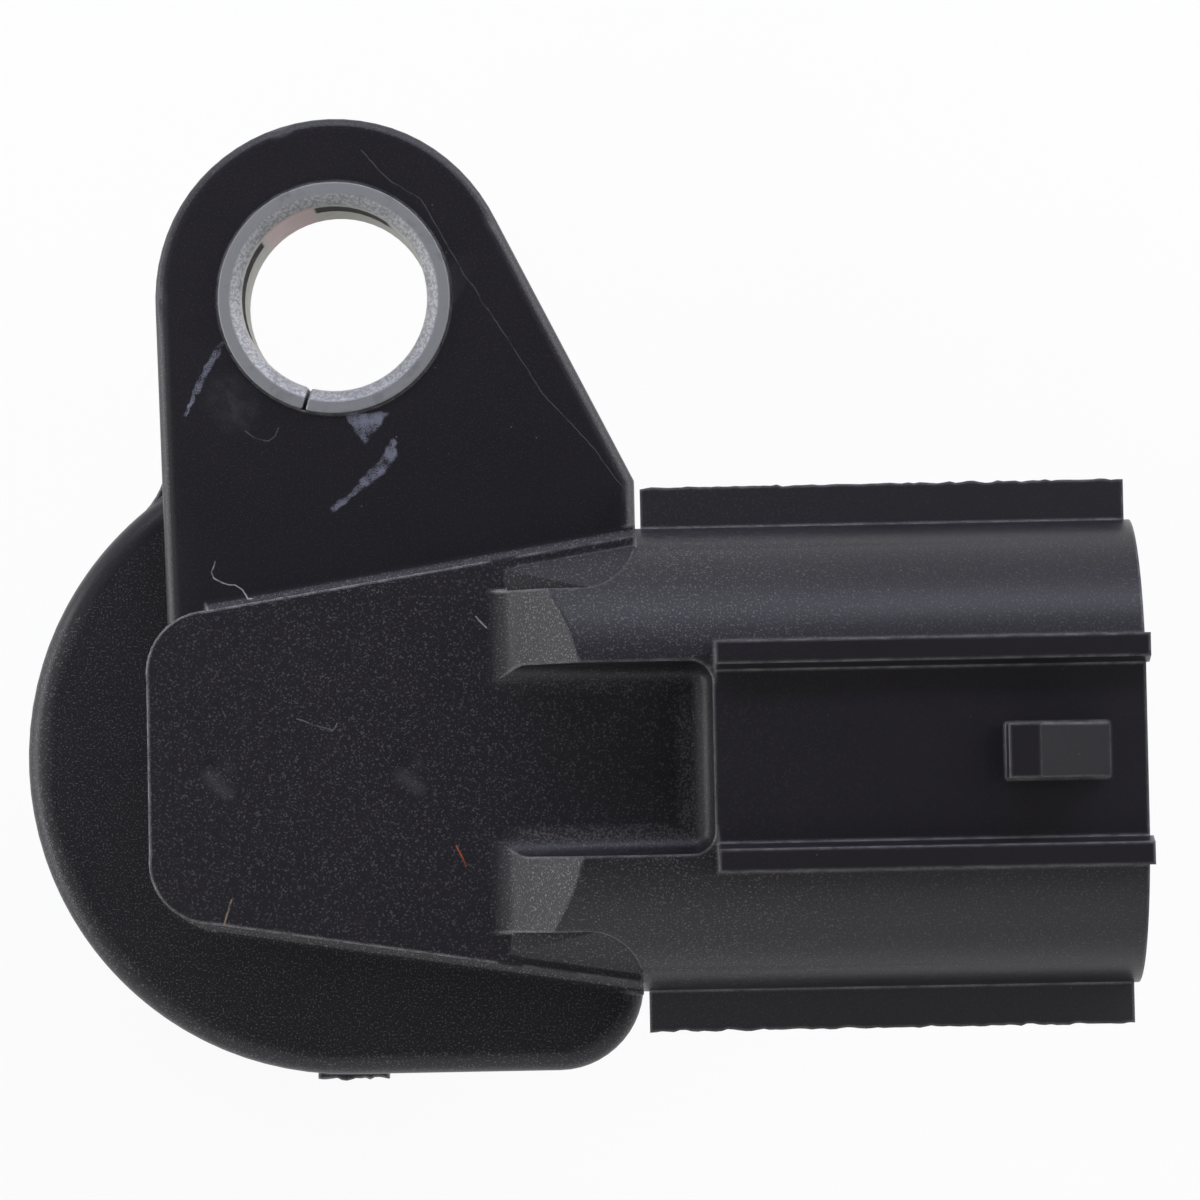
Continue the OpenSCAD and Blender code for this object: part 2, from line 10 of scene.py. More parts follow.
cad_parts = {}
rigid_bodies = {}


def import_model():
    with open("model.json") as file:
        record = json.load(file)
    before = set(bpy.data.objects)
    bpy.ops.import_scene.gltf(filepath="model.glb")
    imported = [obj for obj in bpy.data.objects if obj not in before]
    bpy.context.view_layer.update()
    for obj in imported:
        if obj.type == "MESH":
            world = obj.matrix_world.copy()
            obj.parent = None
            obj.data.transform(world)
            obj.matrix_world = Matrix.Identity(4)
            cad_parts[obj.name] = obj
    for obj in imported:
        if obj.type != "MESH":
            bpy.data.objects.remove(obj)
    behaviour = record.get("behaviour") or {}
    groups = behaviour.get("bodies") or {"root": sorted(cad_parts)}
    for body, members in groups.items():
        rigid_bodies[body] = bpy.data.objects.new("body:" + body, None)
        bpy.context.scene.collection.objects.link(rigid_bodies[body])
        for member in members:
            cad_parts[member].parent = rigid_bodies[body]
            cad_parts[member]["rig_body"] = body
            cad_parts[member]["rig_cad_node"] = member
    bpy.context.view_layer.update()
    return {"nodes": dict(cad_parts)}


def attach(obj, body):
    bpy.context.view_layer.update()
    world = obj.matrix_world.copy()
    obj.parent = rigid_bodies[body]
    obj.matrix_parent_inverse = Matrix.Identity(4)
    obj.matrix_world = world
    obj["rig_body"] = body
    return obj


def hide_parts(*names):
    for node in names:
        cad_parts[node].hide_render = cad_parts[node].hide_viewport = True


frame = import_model()

MM = 0.001

# Levels of the part, in mm from the flange seat
FLANGE_TOP = 3.0
EAR_TOP = 5.0
BLOCK_TOP = 9.5
PANEL_LOW = 11.3
BARREL_TIP = -24.0

# Plan places, in mm; the halves are counted from the socket's middle line
SOCKET_Y = -0.4
RAMP_FOOT = 6.0
RAMP_HALF = 6.0
RAMP_END = 10.6
BANK_START = 5.5
FIN_FOOT = 8.2
FIN_HALF = 9.7
HOLLOW_HALF = 3.35
HOLLOW_END = 13.05
PANEL_BACK = 13.4
PANEL_HALF = 5.0
FLANGE_REACH = 10.7
GATE_END = -11.9
BOLT_Y = 16.5

# Ear: round, straight sides' distance from the bolt, and the turns in degrees at which the sides leave the round
EAR_R = 6.55
EAR_SIDE = 6.5
EAR_LEFT_TURN = 181.3
EAR_RIGHT_TURN = 26.7
EAR_EASE = 45

# Broken edges: width in mm on each piece, strips per edge and the least angle of an edge in degrees
HOUSING_EDGE = 0.10
BUSH_EDGE = 0.08
CUP_EDGE = 0.15
PIN_EDGE = 0.06
EDGE_STEPS = 2
EDGE_ANGLE = 28

# Rims that the mould left frayed: depth in mm, and cuts along a fin and along the gate's end
FRAY = 0.085
FIN_CUTS = 80
GATE_CUTS = 14

# Moulded surfaces: how grained, how like a ramp, how much lighter grey (partly wear, partly painted light: more on the
# lower side and on the ear's rim), and 1 on the banks, whose corners stay as they are
Surface = namedtuple("Surface", "grain ramp rubbed bank", defaults=(0.0, 0.0, 0.0))
RAMP_FACE = Surface(0.55, ramp=1.0)
BANK_FRONT = Surface(0.8, ramp=0.15, bank=1.0)
BANK_FACE = Surface(0.8, bank=1.0)
# Painted light: the lower foot and the lower fin are lighter grey than the upper ones, and the ear's rim lighter than
# its face
UPPER_FOOT = Surface(0.9, rubbed=0.2)
LOWER_FOOT = Surface(1.6, rubbed=0.85)
EAR_RIM = Surface(0.5, rubbed=0.60)
EAR_FACE = Surface(0.16)
HOLLOW_FOOT = Surface(0.5, rubbed=0.05)
PANEL_FACE = Surface(0.12)
UPPER_FIN = Surface(0.25, rubbed=0.30)
LOWER_FIN = Surface(0.25, rubbed=0.52)
SHELL_FACE = Surface(0.75)
BARREL_FACE = Surface(0.2)
FLANGE_FACE = Surface(0.8)
BLOCK_FACE = Surface(0.55)

# Colours of the moulding
DEEP_BLACK = (0.0120, 0.0107, 0.0138)
SOFT_BLACK = (0.0160, 0.0145, 0.0182)
RAMP_GREY = (0.062, 0.060, 0.064)
# Lighter grey of worn surfaces, also used as painted light on the lower side and on the ear's rim
WEAR_AND_PAINTED_LIGHT_GREY = (0.062, 0.061, 0.065)
GRAIN_GREY = (0.170, 0.167, 0.174)
# Light grey on the corners: partly edge wear, partly a painted highlight along the edges
EDGE_WEAR_AND_HIGHLIGHT_GREY = (0.46, 0.457, 0.465)
# Painted shade in the ramps' creases
CREASE_SHADE_BLACK = (0.003, 0.003, 0.003)
# Painted highlight along the foot inside the hollow
FOOT_HIGHLIGHT_GREY = (0.105, 0.102, 0.110)
FINE_DUST = (0.16, 0.16, 0.165)
COARSE_DUST = (0.24, 0.24, 0.24)
PAINT_BLUE = (0.205, 0.215, 0.27)
SMEAR_GREY = (0.10, 0.10, 0.105)

# Marks on the ear and the block, as plan points in mm
PAINT_ARC = [(-4.15, 14.80), (-4.70, 13.91), (-5.05, 13.15)]
PAINT_ARC_TIP = [(-3.99, 15.05), (-4.70, 13.91), (-5.41, 12.36)]
PAINT_STROKE = [(2.00, 10.85), (1.62, 10.35), (1.00, 9.80)]
PAINT_STROKE_TAIL = [(2.08, 11.25), (1.62, 10.35), (0.80, 9.60), (-0.13, 8.90)]
PAINT_WEDGE = [(0.10, 12.40), (1.03, 11.15), (1.98, 12.35)]
RUBBED_SPOT = [(-3.9, 13.0), (-3.6, 12.5)]
EJECTOR_SMEARS = (
    [(-4.43, -0.67), (-4.12, -1.06), (-3.80, -1.32)],
    [(2.36, -0.84), (2.64, -1.05), (2.95, -1.30)],
)
LONG_SCRATCH = [
    (1.07, 21.84), (2.03, 20.76), (3.21, 20.01), (4.54, 17.56), (7.48, 12.90), (9.28, 10.85), (10.44, 9.27),
]
CURLY_FIBRE = [
    (-4.45, 7.04), (-4.60, 6.68), (-4.49, 6.46), (-4.31, 6.35), (-3.98, 6.20), (-3.73, 6.20), (-3.47, 5.98),
    (-3.29, 5.69), (-3.00, 5.68),
]
FAINT_FIBRE = [(-3.27, 11.72), (-2.95, 11.50), (-2.44, 11.36), (-2.20, 11.52), (-2.11, 11.83)]
BROWN_FIBRE = [(-4.17, -6.43), (-3.95, -5.77), (-3.72, -5.07)]
RED_FIBRE = [(4.25, -3.33), (4.55, -4.04)]
WHITE_HAIR = [(5.06, 4.70), (5.44, 4.31)]
FAINT_HAIR = [(-1.30, 1.24), (-0.70, 1.02), (-0.04, 0.83), (0.12, 1.05)]
# Strokes of worn paint with the half widths in mm at which it begins and is full
PAINT_STROKES = [
    (PAINT_ARC, 0.15, 0.06),
    (PAINT_ARC_TIP, 0.09, 0.03),
    (PAINT_STROKE, 0.25, 0.12),
    (PAINT_STROKE_TAIL, 0.14, 0.05),
]
# Strokes, half width in mm, cover and colour
FINE_MARKS = [
    (LONG_SCRATCH, 0.018, 0.36, (0.16, 0.16, 0.165)),
    (CURLY_FIBRE, 0.022, 0.85, (0.42, 0.40, 0.38)),
    (FAINT_FIBRE, 0.022, 0.30, (0.20, 0.19, 0.18)),
    (BROWN_FIBRE, 0.030, 0.70, (0.30, 0.23, 0.15)),
    (RED_FIBRE, 0.026, 0.75, (0.42, 0.09, 0.03)),
    (WHITE_HAIR, 0.026, 0.60, (0.36, 0.36, 0.36)),
    (FAINT_HAIR, 0.024, 0.45, (0.20, 0.20, 0.21)),
]

# Bush: reach in mm of its level end face, lead-in and bore
BUSH_LEVEL = 3.80
BUSH_LEAD_IN = 3.72
BUSH_BORE = 3.42

# Studio: floor's own colour, share of it that shows as plain white, and the lamps' aim in m
FLOOR_PALE = 0.95
FLOOR_WHITE = 0.88
LAMP_AIM = (0.009, 0.002, 0.006)
COOL_LIGHT = (0.80, 0.82, 1.0)
PLAIN_LIGHT = (0.985, 0.98, 1.0)
# Lamps: place and size in m, watts and colour
LAMPS = {
    "upper_band": ((0.01, 0.235, 0.143), (0.42, 0.055), 0.50, COOL_LIGHT),
    "upper_low": ((0.01, 0.27, 0.050), (0.40, 0.07), 0.04, COOL_LIGHT),
    "lower_soft": ((0.01, -0.22, 0.130), (0.44, 0.20), 0.24, PLAIN_LIGHT),
    "left_low": ((-0.26, 0.0, 0.030), (0.30, 0.10), 0.50, PLAIN_LIGHT),
    "right_low": ((0.25, 0.15, 0.055), (0.22, 0.09), 0.38, PLAIN_LIGHT),
    "left_fill": ((-0.17, 0.0, 0.22), (0.16, 0.18), 0.125, PLAIN_LIGHT),
    "right_fill": ((0.19, 0.03, 0.22), (0.16, 0.18), 0.125, PLAIN_LIGHT),
}
# Dome: colour, and its strength near the horizon and overhead, with the heights at which each begins
DOME_COLOUR = (0.98, 0.975, 1.0, 1)
DOME_HORIZON = (0.10, 0.58)
DOME_ZENITH = (0.92, 0.06)

# Camera: aim in mm, tilts and roll in degrees, distance in mm, and the photograph's scale in px per mm and width in px
CAMERA_AIM = (9.39787, 5.39060, 5.1)
CAMERA_TURNS = (-0.48360, 2.26343, 1.09541)
CAMERA_DISTANCE = 195
PHOTO_SCALE = 27.78555
PHOTO_WIDTH = 1200
SENSOR_WIDTH = 36


def pick_only(obj):
    """Leaves one object selected and active."""
    if bpy.context.object and bpy.context.object.mode != "OBJECT":
        bpy.ops.object.mode_set(mode="OBJECT")
    bpy.ops.object.select_all(action="DESELECT")
    bpy.context.view_layer.objects.active = obj
    obj.select_set(True)


def pick_nothing(piece, kind):
    """Clears the selection in a piece's mesh and leaves it ready for faces or edges to be picked in code."""
    pick_only(piece)
    bpy.ops.object.mode_set(mode="EDIT")
    bpy.ops.mesh.select_mode(type=kind)
    bpy.ops.mesh.select_all(action="DESELECT")
    bpy.ops.object.mode_set(mode="OBJECT")


def copy_of(node, name):
    """A merged copy of a CAD node under a name of its own, free of the frame."""
    pick_only(frame["nodes"][node])
    bpy.ops.object.duplicate(linked=False)
    piece = bpy.context.object
    bpy.ops.object.parent_clear(type="CLEAR_KEEP_TRANSFORM")
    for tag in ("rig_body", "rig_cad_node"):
        if tag in piece:
            del piece[tag]
    piece.name = name
    piece.data.name = name
    piece.data.materials.clear()
    bpy.ops.object.mode_set(mode="EDIT")
    bpy.ops.mesh.select_all(action="SELECT")
    bpy.ops.mesh.remove_doubles(threshold=2e-6)
    bpy.ops.mesh.dissolve_limited(angle_limit=math.radians(0.6))
    bpy.ops.object.mode_set(mode="OBJECT")
    return piece


def soften_edges(piece, width):
    """Breaks the sharp edges with narrow rounded strips."""
    pick_only(piece)
    bpy.ops.object.modifier_add(type="BEVEL")
    soft = piece.modifiers[-1]
    soft.width = width * MM
    soft.segments = EDGE_STEPS
    soft.limit_method = "ANGLE"
    soft.angle_limit = math.radians(EDGE_ANGLE)
    soft.miter_outer = "MITER_ARC"
    soft.use_clamp_overlap = True
    soft.loop_slide = True
    bpy.ops.object.modifier_apply(modifier=soft.name)


def smooth(piece, angle=30):
    """Smooth shading that stays level on flats: large faces lead the normals."""
    pick_only(piece)
    bpy.ops.object.shade_smooth_by_angle(angle=math.radians(angle))
    bpy.ops.object.modifier_add(type="WEIGHTED_NORMAL")
    level = piece.modifiers[-1]
    level.weight = 100
    level.keep_sharp = True
    bpy.ops.object.modifier_apply(modifier=level.name)


def seat(piece, node):
    """Rides on the body and stands for its CAD node."""
    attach(piece, "root")
    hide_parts(node)


class Finish:
    """A node material that is built one named step at a time."""

    def __init__(self, name):
        self.material = bpy.data.materials.new(name)
        self.material.use_nodes = True
        self.tree = self.material.node_tree
        self.tree.nodes.clear()
        out = self.tree.nodes.new("ShaderNodeOutputMaterial")
        self.shader = self.tree.nodes.new("ShaderNodeBsdfPrincipled")
        self.tree.links.new(self.shader.outputs[0], out.inputs[0])
        place = self.tree.nodes.new("ShaderNodeTexCoord")
        self.mm = self.vector("SCALE", place.outputs["Object"], 1 / MM)
        self.plan = self.vector("MULTIPLY", self.mm, (1.0, 1.0, 0.0))
        self.rounded = None

    def feed(self, socket, value):
        if isinstance(value, bpy.types.NodeSocket):
            self.tree.links.new(value, socket)
        elif isinstance(value, (tuple, list)) and len(value) == 3 and len(socket.default_value) == 4:
            socket.default_value = (*value, 1.0)
        else:
            socket.default_value = value

    def vector(self, step, a, b=None):
        n = self.tree.nodes.new("ShaderNodeVectorMath")
        n.operation = step
        self.feed(n.inputs[0], a)
        if step == "SCALE":
            self.feed(n.inputs["Scale"], b)
        elif b is not None:
            self.feed(n.inputs[1], b)
        return n.outputs["Value"] if step in ("LENGTH", "DOT_PRODUCT") else n.outputs["Vector"]

    def math(self, step, a, b=0.0, clamp=False):
        n = self.tree.nodes.new("ShaderNodeMath")
        n.operation = step
        n.use_clamp = clamp
        self.feed(n.inputs[0], a)
        self.feed(n.inputs[1], b)
        return n.outputs[0]

    def times(self, first, *others):
        """Product of several values."""
        for other in others:
            first = self.math("MULTIPLY", first, other)
        return first

    def fade(self, value, start, end, low=0.0, high=1.0):
        """Runs smoothly from low at start to high at end."""
        n = self.tree.nodes.new("ShaderNodeMapRange")
        n.interpolation_type = "SMOOTHSTEP"
        self.feed(n.inputs["Value"], value)
        self.feed(n.inputs["From Min"], start)
        self.feed(n.inputs["From Max"], end)
        self.feed(n.inputs["To Min"], low)
        self.feed(n.inputs["To Max"], high)
        return n.outputs["Result"]

    def noise(self, scale, detail=2.0, rough=0.5):
        n = self.tree.nodes.new("ShaderNodeTexNoise")
        self.feed(n.inputs["Vector"], self.mm)
        n.inputs["Scale"].default_value = scale
        n.inputs["Detail"].default_value = detail
        n.inputs["Roughness"].default_value = rough
        return n.outputs["Fac"]

    def mix(self, share, a, b):
        n = self.tree.nodes.new("ShaderNodeMix")
        n.data_type = "RGBA"
        self.feed(n.inputs["Factor"], share)
        self.feed(n.inputs[6], a)
        self.feed(n.inputs[7], b)
        return n.outputs[2]

    def mark(self, name):
        """A float attribute of the piece's own mesh."""
        n = self.tree.nodes.new("ShaderNodeAttribute")
        n.attribute_name = name
        return n.outputs["Fac"]

    def split(self, vector):
        n = self.tree.nodes.new("ShaderNodeSeparateXYZ")
        self.feed(n.inputs[0], vector)
        return n.outputs

    def specks(self, scale, size, share):
        """Round specks of a size in mm, in a share of cells that are 1/scale mm wide."""
        n = self.tree.nodes.new("ShaderNodeTexVoronoi")
        self.feed(n.inputs["Vector"], self.mm)
        n.inputs["Scale"].default_value = scale
        chance = self.split(n.outputs["Color"])
        dot = self.fade(n.outputs["Distance"], size * scale, size * scale * 0.4)
        there = self.fade(chance[0], 1.0 - share, 1.0 - share * 0.5)
        return self.times(there, self.fade(chance[1], 0.0, 1.0, 0.3, 1.0), dot)

    def wander(self, scale, reach):
        """Plan place that strays by up to half of reach in mm, so that drawn marks get uneven edges."""
        n = self.tree.nodes.new("ShaderNodeTexNoise")
        self.feed(n.inputs["Vector"], self.mm)
        n.inputs["Scale"].default_value = scale
        stray = self.vector("SUBTRACT", n.outputs["Color"], (0.5, 0.5, 0.5))
        stray = self.vector("MULTIPLY", stray, (reach, reach, 0.0))
        return self.vector("ADD", self.plan, stray)

    def line(self, strokes, place=None):
        """Plan distance in mm from a run of straight strokes."""
        near = None
        for a, b in zip(strokes, strokes[1:]):
            run = (b[0] - a[0], b[1] - a[1], 0.0)
            off = self.vector("SUBTRACT", self.plan if place is None else place, (*a, 0.0))
            along = self.vector("DOT_PRODUCT", off, run)
            along = self.math("MULTIPLY", along, 1.0 / (run[0] ** 2 + run[1] ** 2), clamp=True)
            gap = self.vector("LENGTH", self.vector("SUBTRACT", off, self.vector("SCALE", run, along)))
            near = gap if near is None else self.math("MINIMUM", near, gap)
        return near

    def patch(self, corners, place):
        """Plan depth in mm inside a flat patch whose corners run anticlockwise."""
        depth = None
        for a, b in zip(corners, corners[1:] + corners[:1]):
            run = Vector((b[0] - a[0], b[1] - a[1])).normalized()
            inward = (-run.y, run.x, 0.0)
            gap = self.vector("DOT_PRODUCT", self.vector("SUBTRACT", place, (*a, 0.0)), inward)
            depth = gap if depth is None else self.math("MINIMUM", depth, gap)
        return depth

    def soft_corners(self, radius, plain):
        """Rounds the corners' shading by a radius in mm except where plain is 1, and gives 1 on the corners."""
        n = self.tree.nodes.new("ShaderNodeBevel")
        n.samples = 4
        n.inputs["Radius"].default_value = radius * MM
        face = self.tree.nodes.new("ShaderNodeNewGeometry")
        blend = self.tree.nodes.new("ShaderNodeMix")
        blend.data_type = "VECTOR"
        self.feed(blend.inputs["Factor"], plain)
        self.feed(blend.inputs[4], n.outputs[0])
        self.feed(blend.inputs[5], face.outputs["Normal"])
        self.rounded = blend.outputs[1]
        lean = self.vector("DOT_PRODUCT", self.rounded, face.outputs["Normal"])
        return self.fade(lean, 0.99, 0.84)

    def bump(self, height, depth):
        """A bump whose full height is depth in mm."""
        n = self.tree.nodes.new("ShaderNodeBump")
        n.inputs["Distance"].default_value = depth * MM
        n.inputs["Strength"].default_value = 1.0
        self.feed(n.inputs["Height"], height)
        if self.rounded:
            self.tree.links.new(self.rounded, n.inputs["Normal"])
        self.tree.links.new(n.outputs[0], self.shader.inputs["Normal"])

    def set(self, **sockets):
        for name, value in sockets.items():
            self.feed(self.shader.inputs[name.replace("_", " ")], value)
        return self.material


def moulded_black(name, marked):
    """Black glass-filled plastic: eroded grain, softened edges painted lighter (partly wear, partly a painted
    highlight), painted shade in the ramps' upper creases, a painted highlight along the hollow's foot, and dust;
    marked adds the paint and lint.
    """
    f = Finish(name)
    x, y, z = f.split(f.mm)
    across = f.math("ABSOLUTE", f.math("SUBTRACT", y, SOCKET_Y))
    on_top = f.fade(z, BLOCK_TOP - 0.1, BLOCK_TOP)
    on_ramp = f.times(f.mark("ramp"), f.fade(x, RAMP_FOOT - 0.45, RAMP_FOOT + 1.0))
    grain = f.math("ADD", f.times(f.mark("grain"), f.fade(x, 13.0, 20.0, 1.0, 0.45)), on_ramp)
    rim = f.soft_corners(0.19, f.mark("bank"))
    pits = f.noise(15.0, 1.0, 0.5)
    fine = f.noise(24.0, 2.0, 0.6)
    cloud = f.noise(0.35, 3.0, 0.55)
    patches = f.noise(1.6, 3.0, 0.6)

    colour = f.mix(cloud, DEEP_BLACK, SOFT_BLACK)
    colour = f.mix(f.times(on_ramp, 0.05), colour, RAMP_GREY)
    # Lighter grey: partly wear, partly painted light on the lower side and the ear's rim
    colour = f.mix(f.times(f.mark("rubbed"), f.fade(fine, 0.3, 0.7, 0.5, 1.0)), colour, WEAR_AND_PAINTED_LIGHT_GREY)
    sparkle = f.times(f.fade(pits, 0.56, 0.70), grain)
    colour = f.mix(f.math("MULTIPLY", sparkle, 0.55, clamp=True), colour, GRAIN_GREY)

    slope = ramp_slope(f, x, across, on_top)
    spared = f.math("MAXIMUM", slope, bank_end(f, x, across, on_top))
    broken = f.fade(f.math("ADD", fine, patches), 0.76, 1.25, 0.22, 1.0)
    # Corners painted lighter: partly edge wear, partly a painted highlight, stronger where x is below 5 mm, spared on
    # the ramps and where the banks rise
    edge_wear_and_highlight = f.times(rim, f.fade(x, 5.0, 8.0, 1.3, 0.5), broken, f.math("SUBTRACT", 1.0, spared))
    colour = f.mix(f.times(edge_wear_and_highlight, 0.95), colour, EDGE_WEAR_AND_HIGHLIGHT_GREY)
    # Painted shade: the ramps' corners on the upper side are darkened
    slope_crease_shade = f.times(rim, slope, f.fade(y, SOCKET_Y, SOCKET_Y + 0.5))
    colour = f.mix(f.times(slope_crease_shade, 0.9), colour, CREASE_SHADE_BLACK)
    # Painted highlight along the hollow's foot, broken up by the grain
    foot_highlight = f.math("MULTIPLY", hollow_foot_highlight(f, x, y, z, across), f.fade(pits, 0.40, 0.66, 0.10, 0.75), clamp=True)
    colour = f.mix(foot_highlight, colour, FOOT_HIGHLIGHT_GREY)
    colour = f.mix(f.specks(2.2, 0.030, 0.22), colour, FINE_DUST)
    colour = f.mix(f.specks(0.9, 0.045, 0.16), colour, COARSE_DUST)
    if marked:
        colour = ear_and_block_marks(f, colour, fine, patches)

    rough = f.math("ADD", f.times(grain, 0.08), f.times(fine, 0.12))
    f.bump(f.math("ADD", f.times(pits, grain), f.times(fine, 0.10)), 0.012)
    return f.set(Base_Color=colour, Roughness=f.math("ADD", rough, 0.28), Specular_IOR_Level=0.30)


def ramp_slope(f, x, across, on_top):
    """1 on the two ramps and on the shell's start behind them, where the corners are not painted lighter."""
    inner = f.fade(across, HOLLOW_HALF + 0.12, HOLLOW_HALF + 0.3)
    outer = f.fade(across, RAMP_HALF - 0.12, RAMP_HALF - 0.3)
    start = f.fade(x, RAMP_FOOT - 0.9, RAMP_FOOT - 0.6)
    return f.times(inner, outer, start, f.fade(x, RAMP_END, RAMP_END - 0.3), on_top)


def bank_end(f, x, across, on_top):
    """1 where the banks rise from the block, a soft fold whose corners are not painted lighter."""
    outside = f.fade(across, RAMP_HALF + 0.04, RAMP_HALF + 0.16)
    start = f.fade(x, RAMP_FOOT - 0.5, RAMP_FOOT - 0.3)
    return f.times(outside, f.fade(x, RAMP_FOOT + 0.6, RAMP_FOOT + 0.4), start, on_top)


def hollow_foot_highlight(f, x, y, z, across):
    """1 along a painted highlight on the grained foot inside the hollow, fainter on its upper side."""
    inset = f.math("MINIMUM", f.math("SUBTRACT", HOLLOW_HALF, across), f.math("SUBTRACT", HOLLOW_END, x))
    band = f.times(f.fade(inset, 0.30, 0.62), f.fade(inset, 1.20, 0.80))
    start = f.fade(x, RAMP_FOOT - 0.2, RAMP_FOOT + 0.8)
    above = f.fade(z, BLOCK_TOP - 0.3, BLOCK_TOP - 0.1)
    return f.times(band, start, above, f.fade(y, SOCKET_Y + 1.2, SOCKET_Y + 2.4, 1.0, 0.35))


def ear_and_block_marks(f, colour, fine, patches):
    """Worn bluish paint on the ear, rubbed and smeared spots, a long scratch and the fibres that lie on the part."""
    flaked = f.fade(f.math("ADD", f.times(fine, 0.6), f.times(patches, 0.6)), 0.48, 0.68)
    uneven = f.wander(2.4, 0.34)
    paint = f.fade(f.patch(PAINT_WEDGE, uneven), 0.0, 0.12)
    for strokes, begin, full in PAINT_STROKES:
        paint = f.math("MAXIMUM", paint, f.fade(f.line(strokes, uneven), begin, full))
    colour = f.mix(f.times(paint, flaked, 0.85), colour, PAINT_BLUE)
    rubbed = f.times(f.fade(f.line(RUBBED_SPOT), 1.2, 0.0), f.fade(patches, 0.35, 0.7, 0.05, 0.28))
    colour = f.mix(rubbed, colour, SMEAR_GREY)
    for strokes in EJECTOR_SMEARS:
        smear = f.times(f.fade(f.line(strokes), 0.42, 0.0), f.fade(fine, 0.3, 0.7, 0.14, 0.34))
        colour = f.mix(smear, colour, SMEAR_GREY)
    bent = f.wander(1.5, 0.16)
    broken = f.fade(patches, 0.36, 0.52, 0.35, 1.0)
    for strokes, half, share, tint in FINE_MARKS:
        cover = f.fade(f.line(strokes, bent), half * 1.5, half * 0.5)
        colour = f.mix(f.times(cover, broken, share), colour, tint)
    return colour


def rolled_steel():
    """Plated bush: level end face, rough lighter lead-in, a wall with a faint painted rosy reflection and two dark
    arcs under the rim.
    """
    f = Finish("rolled_steel")
    y, z = f.split(f.mm)[1:]
    off = f.vector("SUBTRACT", f.plan, (0.0, BOLT_Y, 0.0))
    reach = f.vector("LENGTH", off)
    across = f.split(off)
    turn = f.math("ARCTAN2", across[1], across[0])
    fine = f.noise(14.0, 3.0, 0.65)
    broad = f.noise(1.2, 3.0, 0.6)

    level = f.mix(fine, (0.265, 0.27, 0.28), (0.335, 0.34, 0.35))
    lead_in = f.mix(f.fade(f.noise(9.0, 2.0, 0.7), 0.36, 0.64), (0.27, 0.275, 0.285), (0.46, 0.465, 0.475))
    wall = f.mix(f.fade(broad, 0.35, 0.65), (0.46, 0.455, 0.41), (0.52, 0.51, 0.47))
    # Painted reflection: a rosy patch on the far side of the bore
    rosy_reflection = f.times(f.fade(turn, 1.75, 1.85), f.fade(turn, 2.46, 2.36))
    wall = f.mix(rosy_reflection, wall, (0.60, 0.47, 0.46))
    upper_arc = f.times(f.fade(turn, 0.86, 0.98), f.fade(turn, 1.80, 1.76))
    left_arc = f.fade(f.math("ABSOLUTE", turn), 2.44, 2.48)
    under_rim = f.times(f.fade(z, 3.0, 3.2), f.fade(z, 4.75, 4.6))
    shade = f.times(f.math("MAXIMUM", upper_arc, left_arc), f.fade(y, BOLT_Y - 1.6, BOLT_Y - 1.2), under_rim)
    wall = f.mix(f.times(shade, 0.96), wall, (0.008, 0.008, 0.006))

    colour = f.mix(f.fade(reach, BUSH_LEVEL, BUSH_LEAD_IN), level, lead_in)
    colour = f.mix(f.fade(reach, BUSH_BORE, BUSH_BORE - 0.06), colour, wall)
    smudge = f.times(f.fade(broad, 0.56, 0.70), 0.35)
    colour = f.mix(smudge, colour, (0.15, 0.155, 0.17))
    rough = f.math("MAXIMUM", f.fade(reach, BUSH_LEVEL, BUSH_LEAD_IN, 0.50, 0.62), shade)
    f.bump(f.times(fine, f.fade(reach, BUSH_LEVEL + 0.05, BUSH_LEAD_IN - 0.02, 0.35, 1.0)), 0.016)
    return f.set(Base_Color=colour, Roughness=rough, Metallic=f.math("SUBTRACT", 0.55, f.times(shade, 0.55)))


def plain_finish(name, dark, light, scale, rough, metal=0.0, depth=0.01):
    """A simple even finish with its own fine mottling and bump."""
    f = Finish(name)
    speck = f.noise(scale, 4.0, 0.6)
    f.bump(speck, depth)
    roughness = f.fade(speck, 0.2, 0.8, rough - 0.06, rough + 0.08)
    return f.set(Base_Color=f.mix(speck, dark, light), Roughness=roughness, Metallic=metal)


